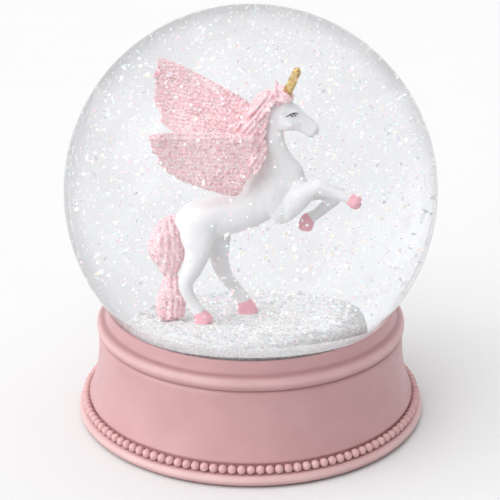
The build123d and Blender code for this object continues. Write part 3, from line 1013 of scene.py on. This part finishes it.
# locks that stand out on the near side, by their girth
near_locks = {
    0.85: [(1.0, -1.6, 39.4), (1.9, -2.9, 37.8), (2.1, -4.4, 36.0), (1.3, -5.8, 34.0), (0.7, -6.3, 32.4)],
    0.75: [(0.5, -1.8, 39.2), (0.7, -3.8, 37.6), (0.5, -5.6, 35.6), (0.1, -6.4, 33.6)],
    0.65: [(3.3, -1.2, 43.5), (2.5, -2.0, 41.2), (2.0, -2.3, 38.8), (1.1, -2.6, 36.6)],
    0.6: [(3.8, -0.9, 46.0), (3.1, -1.8, 44.3), (2.8, -2.1, 42.2), (2.0, -2.3, 40.2)],
}


def flowing_mane():
    """Locks that leave the crest and fall back and down on both sides."""
    shape = Shape()
    crest = [(5.0, 47.4), (3.5, 46.6), (2.8, 44.0), (1.9, 40.5), (1.0, 37.0), (0.0, 34.2)]
    shape.sweep(
        lifted([
            (4.6, 0, 46.9, 0.6, 0.8),
            (3.2, 0, 46.2, 1.4, 1.3),
            (2.0, 0, 43.6, 1.7, 1.5),
            (1.3, 0, 40.2, 1.9, 1.7),
            (0.4, -0.3, 36.8, 2.0, 1.9),
            (-0.2, -0.6, 33.8, 1.6, 1.8),
            (-0.4, -0.8, 31.4, 0.7, 0.9),
        ]),
        sides=24,
    )
    for side in (-1, 1):
        for share in (i / 23 for i in range(24)):
            x, z = along(crest, share)
            wave = hair_chance.uniform(-0.35, 0.35)
            drop = 7.6 + 2.0 * hair_chance.random() - 3.0 * share
            back = 6.6 - 5.0 * share + hair_chance.uniform(-0.5, 0.5)
            points = [
                (x + 0.3, side * 0.5, z - 0.2),
                (x - 0.2, side * 1.7, z - 0.7),
                (x - 0.35 * back + wave, side * 2.5, z - 0.34 * drop),
                (x - 0.75 * back - wave, side * 2.8, z - 0.68 * drop),
                (x - back, side * 2.6, z - drop),
            ]
            lock(shape, points, 0.46)
    outer = [(4.9, 46.9), (3.7, 47.8), (2.3, 47.3), (0.9, 45.5), (-0.5, 43.0), (-1.6, 40.6)]
    for across in (-1.5, -0.7, 0.1, 0.8, 1.6):
        lock(shape, [(x, across, z - 0.3 * abs(across)) for x, z in outer], 0.46)
    for girth, points in near_locks.items():
        lock(shape, points, girth)
    piece = fused("flowing_mane", shape, 0.16, 1)

    def strands(point, normal):
        """Grooves that sweep back and down from the crest."""
        across = 0.78 * point.x - 0.62 * (point.z - ground)
        bend = 2.2 * noise.noise(point * 0.22)
        return 0.17 * sin(6.4 * across + bend) + 0.09 * noise.noise(point * 2.6)

    relief(piece, strands)
    return finished(piece, mane_glitter)


def curled_forelock():
    """A middle lock and two on each side, combed over the forehead."""
    shape = Shape()
    inner = [(4.8, 0.5, 47.8), (6.0, 1.3, 48.4), (7.3, 1.6, 47.9), (8.3, 1.3, 47.0), (8.9, 0.6, 46.9)]
    outer = [(5.2, 1.3, 47.1), (6.2, 1.9, 47.2), (7.2, 2.0, 46.8), (8.1, 1.8, 46.8)]
    for side in (-1, 1):
        for points, girth in ((inner, 0.5), (outer, 0.42)):
            lock(shape, [(x, side * y, z) for x, y, z in points], girth)
    lock(shape, [(5.0, 0, 47.8), (6.4, 0.2, 48.2), (7.7, 0, 47.7), (8.8, -0.2, 46.9)], 0.55)
    piece = fused("curled_forelock", shape, 0.14, 1)
    return finished(piece, mane_glitter)


def falling_tail():
    """Two bunches with a waist between them, scored into strands."""
    shape = Shape()
    shape.sweep(
        lifted([
            (-14.6, 0, 20.6, 0.8, 0.8),
            (-16.0, 0, 19.4, 1.9, 1.7),
            (-16.7, 0, 16.6, 3.3, 2.3),
            (-16.5, 0, 13.6, 3.5, 2.4),
            (-15.9, 0, 10.8, 2.0, 1.7),
            (-15.7, 0, 8.6, 1.3, 1.25),
            (-15.4, 0, 6.4, 1.9, 1.6),
            (-15.3, 0, 3.6, 2.7, 2.0),
            (-15.3, 0, 1.4, 2.7, 2.0),
            (-15.2, 0, 0.5, 1.8, 1.4),
        ]),
        sides=32,
    )
    for turn in turns(16):
        reach = hair_chance.uniform(0.92, 1.04)
        upper = [
            (-15.0, 0.5 * sin(turn), 20.6),
            (-16.2 + 1.9 * cos(turn), 1.5 * sin(turn) * reach, 19.0),
            (-16.7 + 3.1 * cos(turn) * reach, 2.2 * sin(turn) * reach, 15.6),
            (-16.3 + 2.9 * cos(turn + 0.3) * reach, 2.1 * sin(turn + 0.3), 12.6),
            (-15.8 + 1.2 * cos(turn + 0.5), 1.1 * sin(turn + 0.5), 9.2),
        ]
        lower = [
            (-15.7 + 0.8 * cos(turn), 0.8 * sin(turn), 9.0),
            (-15.4 + 1.7 * cos(turn) * reach, 1.4 * sin(turn), 6.4),
            (-15.3 + 2.5 * cos(turn + 0.3) * reach, 1.8 * sin(turn + 0.3), 3.4),
            (-15.2 + 2.2 * cos(turn + 0.6), 1.6 * sin(turn + 0.6), 0.7),
        ]
        lock(shape, upper, 0.42, flat=0.9)
        lock(shape, lower, 0.4, flat=0.9)
    piece = fused("falling_tail", shape, 0.16, 1)

    def strands(point, normal):
        """Wavy grooves that run down the tail."""
        bend = 1.6 * noise.noise(point * 0.25) + 0.5 * sin(0.5 * point.z)
        return 0.15 * sin(5.2 * point.x + 2.4 * point.y + bend) + 0.06 * noise.noise(point * 2.4)

    relief(piece, strands)
    return finished(piece, mane_glitter)


mane_piece = flowing_mane()
forelock_piece = curled_forelock()
tail_piece = falling_tail()

# ---- wings ----
wing_offset = 4.6
wing_spread = radians(10)


def wing_outward(side):
    """The way that a wing's outer face looks."""
    return Vector((sin(wing_spread), side * cos(wing_spread), 0))


def wing_point(side, back, height, lift=0.0):
    """A place on a wing: distance back, height above the ground, and lift off its middle."""
    y = side * (wing_offset + back * sin(wing_spread))
    return Vector((-back * cos(wing_spread), y, height + ground)) + wing_outward(side) * lift


def feather(shape, side, start, tip, width, lift, sag):
    """A blade from start to tip, thick at its shaft and round at its end."""
    blade = [(0.0, 0.55), (0.25, 0.95), (0.5, 1.05), (0.75, 1.0), (0.9, 0.8), (0.98, 0.42)]
    stations = []
    for share, swell in blade:
        back = start[0] + (tip[0] - start[0]) * share
        height = start[1] + (tip[1] - start[1]) * share - sag * sin(pi * share)
        spot = wing_point(side, back, height, lift * (1 - 0.35 * share))
        stations.append((*spot, width * swell, 0.42 - 0.12 * share))
    shape.sweep(stations, across=wing_outward(side), steps=4, sides=14, dome=0.5)


wing_chance = random.Random(17)
feathers_in_row = 17
# reach of a row as a share of the wing, its lift off the middle, and its feathers' width
feather_rows = [(1.0, 0.2, 1.6), (0.72, 0.6, 1.35), (0.44, 0.95, 1.1)]


def feathered_wing(name, side, leading, roots, tips):
    """Three rows of feathers on each face, fanned from the shoulder, and a rounded leading edge."""
    shape = Shape()
    for face in (-1, 1):
        for row, (reach, lift, width) in enumerate(feather_rows):
            for i in range(feathers_in_row):
                share = (i + 0.5 * (row % 2)) / (feathers_in_row - 0.5)
                start, tip = along(roots, share), along(tips, share)
                reach_here = reach * wing_chance.uniform(0.95, 1.0)
                end = tuple(a + (b - a) * reach_here for a, b in zip(start, tip))
                feather(shape, side, start, end, width, face * lift, 0.25 + 0.5 * share)
    edge = [(*wing_point(side, back, height), 0.62, 0.8) for back, height in leading]
    shape.sweep(edge, across=wing_outward(side), steps=8, sides=16)
    piece = fused(name, shape, 0.17, 2)

    def barbs(point, normal):
        """Fine scores that run with the feathers, and the grain of the glitter."""
        bend = 1.6 * noise.noise(Vector((point.x * 0.22, 0, point.z * 0.4)))
        rib = sin(point.z * 7.5 + point.x * 0.5 + bend)
        grain = noise.noise(point * 2.3)
        return 0.06 * rib + 0.15 * grain + 0.06 * noise.noise(point * 4.5)

    relief(piece, barbs)
    return finished(piece, pink_glitter)


# leading edge, roots and tips of the feathers: distance back, height above the ground
near_wing_piece = feathered_wing(
    "feathered_near_wing",
    -1,
    [(-1.6, 36.5), (-0.8, 39.0), (1.6, 39.9), (10.8, 40.4), (17.4, 40.9), (22.0, 41.3)],
    [(-0.6, 39.2), (-1.4, 35.4), (0.8, 31.8), (2.8, 29.8)],
    [(22.6, 41.4), (21.9, 38.9), (20.3, 35.4), (17.4, 32.7), (12.4, 30.6), (7.6, 29.3), (4.0, 28.8)],
)
far_wing_piece = feathered_wing(
    "feathered_far_wing",
    1,
    [(-0.4, 40.6), (1.2, 43.0), (4.0, 44.5), (11.2, 46.4), (17.2, 50.4), (19.4, 51.8)],
    [(0.4, 42.4), (-0.4, 39.4), (1.8, 35.2), (4.2, 32.9)],
    [(20.0, 52.2), (20.6, 48.6), (20.4, 43.6), (18.8, 39.0), (14.8, 35.6), (10.6, 33.8), (5.6, 32.6)],
)


# ---- snow ----
snow_sides = 220
mound_round = 2.5
hoof_banks = {hooves["far_hind_hoof"][-1][:2]: 0.85, hooves["near_hind_hoof"][-1][:2]: 0.4}


def snow_noise(x, y, closeness, layer):
    """Rolling noise over the ground, from -1 to 1."""
    return noise.noise(Vector((x * closeness, y * closeness, layer)))


def heap(x, y, height, middle, reach):
    """A smooth heap of this height about its middle."""
    return height * exp(-(((x - middle[0]) / reach[0]) ** 2) - ((y - middle[1]) / reach[1]) ** 2)


def mound_rim(x, across):
    """The mound's edge, drawn in at the drift's end."""
    return mound_radius - 2.0 * max(x / max(across, 0.01), 0) ** 3


def mound_top(x, y):
    """Height of the mound above the ground: a rolling top, a drift at one end, a soft edge."""
    across = hypot(x, y)
    rolling = 0.45 * snow_noise(x, y, 0.14, 3) + 0.5 * snow_noise(x, y, 0.38, 8)
    rolling += 0.22 * snow_noise(x, y, 1.1, 1)
    strata = 0.3 * sin(across * 3.0 + 3 * snow_noise(x, y, 0.1, 5))
    rolling += strata * smoothstep(15, 21, across)
    drift = heap(x, y, 2.7, (15.5, 3), (6.5, 7)) * (1 - smoothstep(18.2, 22.0, x))
    crest = heap(x, y, 1.3, (8, 9), (9, 4.5)) + heap(x, y, 0.5, (4, -19), (12, 1.6))
    banked = sum(heap(x, y, height, spot, (3, 3)) for spot, height in hoof_banks.items())
    near_hoof = min(hypot(x - spot[0], y - spot[1]) for spot in hoof_banks)
    edge = max(across - mound_rim(x, across) + mound_round, 0)
    fall = mound_round - sqrt(max(mound_round**2 - min(edge, mound_round - 0.001) ** 2, 0))
    return (rolling + crest) * smoothstep(1.5, 4.0, near_hoof) + drift + banked - fall


def rolling_mound():
    """The snow's top, its side down to the stopper, and its flat underside."""
    rows = 74
    rings = []
    for share in (row / rows for row in range(1, rows + 1)):
        ring = []
        for turn in turns(snow_sides):
            across = mound_rim(cos(turn), 1) * share**0.8
            x, y = across * cos(turn), across * sin(turn)
            ring.append(Vector((x, y, ground + mound_top(x, y))))
        rings.append(ring)
    for depth in (3.5, 5.5, 8.0, 11.0):
        ring = []
        for turn in turns(snow_sides):
            ripple = mound_rim(cos(turn), 1) + 0.18 * snow_noise(cos(turn), sin(turn), 12, depth)
            ring.append(Vector((ripple * cos(turn), ripple * sin(turn), ground - depth)))
        rings.append(ring)
    underside = stopper_top + 0.05
    rings.append([Vector((p.x, p.y, underside)) for p in rings[-1]])
    shape = Shape()
    shape.rows(rings, Vector((0, 0, ground + mound_top(0, 0))), Vector((0, 0, underside)))
    return finished(solid("rolling_snow", shape), snow_glitter)


def settled_snow():
    """Loose flakes that have sunk into the gap between the mound and the glass."""
    rows = 26
    start_radius = 23.2
    wall = inside - 0.35
    upper, lower = [], []
    for share in (row / rows for row in range(rows + 1)):
        top_ring, low_ring = [], []
        for turn in turns(snow_sides):
            front = 0.5 - 0.5 * sin(turn)
            rim = 27.5 + 9.3 * front**0.8
            across = start_radius + (rim - start_radius) * share
            x, y = across * cos(turn), across * sin(turn)
            start = ground - 2.5 - 1.5 * (1 - front)
            top = start + (ball_height(wall, rim) - start) * share**1.2
            wave = 0.22 * snow_noise(x, y, 0.5, 2) + 0.12 * sin(across * 2.6 + 0.2 * x)
            top += wave * sin(pi * share)
            bottom = stopper_top + 1
            if across > neck_bore:
                bottom = max(ball_height(wall, across), bottom)
            top_ring.append(Vector((x, y, max(top, bottom + 0.05))))
            low_ring.append(Vector((x, y, bottom)))
        upper.append(top_ring)
        lower.append(low_ring)
    shape = Shape()
    shape.rows(upper + lower[::-1] + [upper[0]])
    return finished(solid("settled_snow", shape), snow_glitter)


mound_piece = rolling_mound()
settled_piece = settled_snow()

# ---- glitter ----
flake_chance = random.Random(29)
flake_count = 3600
flake_reach = inside - 8
flake_clearance = 0.9
front_begins = -5
front_left_out = 0.7


def under_snow(x, y, z):
    """Whether a place is in the mound or in the flakes that have sunk beside it."""
    across = hypot(x, y)
    return z < ground + 0.8 or (across > 22 and z < ball_height(inside - 1.2, min(across, 46)) + 1)


def flake_places():
    """Points spread through the water, fewer in front of the figure, clear of it and of the snow."""
    graph = bpy.context.evaluated_depsgraph_get()
    solids = [BVHTree.FromObject(piece, graph) for piece in solid_pieces]
    places = []
    while len(places) < flake_count:
        reach = flake_reach * flake_chance.random() ** (1 / 3)
        spot = Vector([flake_chance.gauss(0, 1) for _ in range(3)]).normalized() * reach
        x, y, z = spot.x, spot.y, spot.z + centre_z
        if (y < front_begins and flake_chance.random() < front_left_out) or under_snow(x, y, z):
            continue
        point = Vector((x, y, z)) * MM
        if all(not tree.find_nearest(point, flake_clearance * MM)[0] for tree in solids):
            places.append(point)
    return places


def coat(name, target, material, radius, density, seed):
    """Glitter stuck on a piece, as a piece of its own."""
    sizes = {
        "Flake radius": ("Float", radius * MM),
        "Flake thickness": ("Float", 0.03 * MM),
        "Density": ("Float", density / MM**2),
        "Seed": ("Int", seed),
        "Material": ("Material", material),
    }
    return repeated(placed(name, target.data.copy()), repeater(name + "_tree", sizes, coating), sizes)


solid_pieces = [body, near_wing_piece, far_wing_piece, mane_piece, tail_piece, horn_piece, mound_piece]
solid_pieces += list(hoof_pieces.values())
drift_sizes = {
    "Flake radius": ("Float", 0.31 * MM),
    "Flake thickness": ("Float", 0.04 * MM),
    "Seed": ("Int", 5),
    "Material": ("Material", flake_film),
}
cloud_mesh = bpy.data.meshes.new("flake_cloud")
cloud_mesh.from_pydata(flake_places(), [], [])
drift_tree = repeater("flake_drift", drift_sizes, drifting)
flake_piece = repeated(placed("drifting_flakes", cloud_mesh), drift_tree, drift_sizes)
# piece that is coated, material, flake radius, flakes per square millimetre, seed
coats = {
    "near_wing_glitter": (near_wing_piece, grain_film, 0.13, 3.2, 41),
    "far_wing_glitter": (far_wing_piece, grain_film, 0.13, 3.2, 42),
    "mane_glitter_grains": (mane_piece, grain_film, 0.12, 2.2, 43),
    "tail_glitter_grains": (tail_piece, grain_film, 0.12, 2.2, 44),
    "snow_flakes": (mound_piece, flake_film, 0.24, 1.0, 45),
    "settled_flakes": (settled_piece, flake_film, 0.24, 0.8, 46),
}
coat_pieces = {name: coat(name, *values) for name, values in coats.items()}

# ---- pieces of the frame that stay, with their own materials ----
# name, pale and deep colour, size and depth of the grain, roughness, stretch of the grain
kept = {
    "rubber_stopper": ("black_rubber", (0.035, 0.035, 0.036), (0.018, 0.018, 0.02), 1.2, 0.05, 0.6),
    "sealant_ring": ("clear_sealant", (0.80, 0.79, 0.74), (0.68, 0.67, 0.62), 2.5, 0.06, 0.25),
    "cement_ring": ("grey_cement", (0.56, 0.55, 0.53), (0.36, 0.35, 0.34), 0.9, 0.12, 0.85),
    "bottom_plate": ("plate_board", (0.42, 0.33, 0.25), (0.30, 0.22, 0.16), 1.1, 0.05, 0.8, (1, 0.25, 1)),
    "felt_pad": ("pink_felt", (0.74, 0.45, 0.48), (0.58, 0.30, 0.34), 0.5, 0.15, 0.95, (1, 1, 3)),
}
for name, looks in kept.items():
    material = plain_finish(*looks)
    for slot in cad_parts[name].material_slots:
        slot.material = material

# ---- what each piece stands for ----
stands_for = [
    (globe, "clear_glass", ["glass_globe"]),
    (water, "clear_water", ["water_fill"]),
    (base, "base_pink", ["base_shell"]),
    (beads, "base_pink", ["bead_trim"]),
    (body, "white_resin", ["unicorn_body"]),
    (lash_piece, "white_resin", []),
    (horn_piece, "horn_gold", ["horn"]),
    (ear_piece, "hoof_pink", ["ears"]),
    (forelock_piece, "pink_glitter", ["forelock"]),
    (mane_piece, "pink_glitter", ["mane"]),
    (tail_piece, "pink_glitter", ["tail"]),
    (near_wing_piece, "pink_glitter", ["near_wing"]),
    (far_wing_piece, "pink_glitter", ["far_wing"]),
    (mound_piece, "snow_resin", ["snow_mound"]),
    (settled_piece, "glitter_film", []),
    (flake_piece, "glitter_film", ["glitter_flakes"]),
]
stands_for += [(piece, "hoof_pink", [name]) for name, piece in hoof_pieces.items()]
stands_for += [(piece, "glitter_film", []) for piece in coat_pieces.values()]
for piece, slot, nodes in stands_for:
    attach(piece, "root")
    if nodes:
        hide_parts(*nodes)


# ---- floor, light, camera ----
def studio_floor():
    """Matt white paper under and behind the globe."""
    finish = Finish("floor_paper")
    colour = finish.mix(finish.noise(40, 2), (0.73, 0.73, 0.73), (0.75, 0.75, 0.75))
    grain = finish.bump(finish.noise(1.5, 2), 0.02, 0.1)
    side, front, back = 2.0, 1.5, 4.0
    corners = [(-side, -front, 0), (side, -front, 0), (side, back, 0), (-side, back, 0)]
    mesh = bpy.data.meshes.new("floor")
    mesh.from_pydata(corners, [], [(0, 1, 2, 3)])
    floor = finished(placed("floor", mesh), finish.done(finish.shader(colour, 0.9, Normal=grain)))


def top_softbox():
    """A large round lamp overhead, aimed at the middle of the globe."""
    lamp = bpy.data.lights.new("top_softbox", "AREA")
    lamp.shape = "DISK"
    lamp.size = 0.8
    lamp.energy = 0.6
    holder = placed("top_softbox", lamp)
    holder.location = (-0.1, 0.2, 1.0)
    way = Vector((0, 0, 0.05)) - holder.location
    holder.rotation_euler = way.to_track_quat("-Z", "Y").to_euler()


def studio_sky():
    """Even white light with a broad soft key from the upper left, and a dimmer front."""
    world = bpy.data.worlds.new("studio")
    world.use_nodes = True
    sky = Nodes(world.node_tree)
    sky.tree.nodes.clear()
    way = sky.node("ShaderNodeTexCoord", output="Generated")

    def lobe(direction, low, high, most):
        """Light that grows from low to high as a view turns towards this direction."""
        facing = sky.vector("DOT_PRODUCT", way, Vector(direction).normalized(), output="Value")
        settings = {"interpolation_type": "SMOOTHSTEP"}
        return sky.node("ShaderNodeMapRange", settings, {0: facing, 1: low, 2: high, 3: 0.0, 4: most})

    key = lobe((-0.72, -0.34, 0.6), 0.70, 1.0, 2.3)
    back = lobe((0, 1, 0.35), -0.3, 0.7, 0.35)
    above = lobe((0, -0.45, 0.9), 0.75, 1.0, 0.85)
    front_shade = lobe((0.55, -0.8, 0.15), 0.3, 1.0, 0.28)
    light = key + 0.58 + back + above - front_shade
    colour = {"Color": (0.99, 0.992, 1.0, 1), "Strength": light}
    background = sky.node("ShaderNodeBackground", None, colour)
    sky.node("ShaderNodeOutputWorld", None, {"Surface": background})
    bpy.context.scene.world = world


studio_floor()
studio_sky()
top_softbox()

lens = bpy.data.cameras.new("camera")
lens.lens = 115.2
lens.sensor_width = 36
lens.clip_start = 0.01
camera = placed("camera", lens)
camera.location = (-0.00022, -0.4046, centre_z * MM + 0.1464)
camera.rotation_euler = (radians(68.02), 0, 0)
bpy.context.scene.camera = camera
bpy.context.scene.view_settings.view_transform = "Standard"
